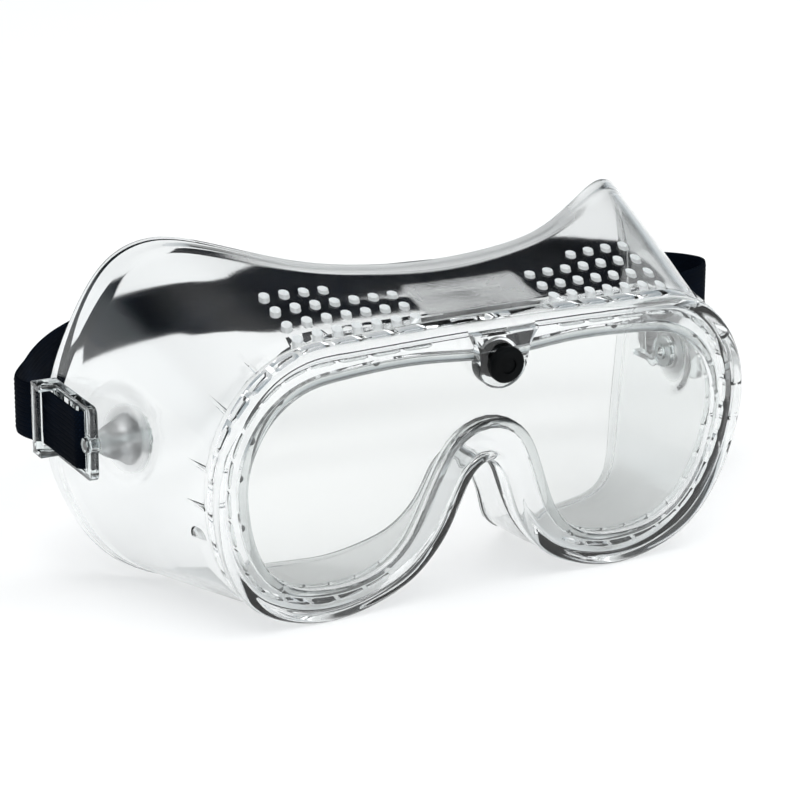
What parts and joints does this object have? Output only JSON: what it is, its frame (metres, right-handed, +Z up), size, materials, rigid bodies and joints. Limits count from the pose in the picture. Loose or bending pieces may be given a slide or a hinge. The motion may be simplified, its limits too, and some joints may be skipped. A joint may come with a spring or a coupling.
{
  "type": "safety goggles",
  "caption": "Clear wrap-round safety goggles: soft vented face shell, flat snap-in lens held by a stud, pivoting strap clips and an elastic headband.",
  "frame": {"origin": "centre of the bounding box on the surface the goggles rest on", "axes": "+X to the wearer's left across the face, seen from the front to the right; +Y from the lens back towards the face and the headband; +Z up"},
  "size_m": [0.226, 0.1446, 0.0911],
  "materials": {
    "clear_soft_pvc": "clear soft PVC, slightly milky",
    "clear_lens": "polished clear polycarbonate",
    "clear_hard_plastic": "clear rigid plastic",
    "black_plastic": "satin black plastic",
    "black_elastic": "woven elastic tape"
  },
  "bodies": {
    "goggle_frame": {"body_shell": "clear_soft_pvc", "lens": "clear_lens", "lens_stud": "black_plastic", "stud_cap": "black_plastic", "clip_rivet_left": "clear_hard_plastic", "clip_rivet_right": "clear_hard_plastic", "clip_washer_left": "clear_hard_plastic", "clip_washer_right": "clear_hard_plastic"},
    "left_clip": {"strap_clip_left": "clear_hard_plastic"},
    "right_clip": {"strap_clip_right": "clear_hard_plastic"},
    "band": {"headband": "black_elastic"}
  },
  "joints": [
    {"name": "headband_swing", "type": "hinge", "parent": "goggle_frame", "child": "band", "pos_m": [-0.01734, -0.02568, 0.0446], "axis": [1, 0, 0], "range_deg": [-20, 70]},
    {"name": "left_clip_pivot", "type": "hinge", "parent": "goggle_frame", "child": "left_clip", "pos_m": [-0.10857, -0.02568, 0.0446], "axis": [1, 0, 0], "range_deg": [-20, 70]},
    {"name": "right_clip_pivot", "type": "hinge", "parent": "goggle_frame", "child": "right_clip", "pos_m": [0.07389, -0.02568, 0.0446], "axis": [1, 0, 0], "range_deg": [-20, 70]}
  ],
  "couplings": [
    {"joint": "left_clip_pivot", "follows": "headband_swing", "ratio": 1},
    {"joint": "right_clip_pivot", "follows": "headband_swing", "ratio": 1}
  ]
}
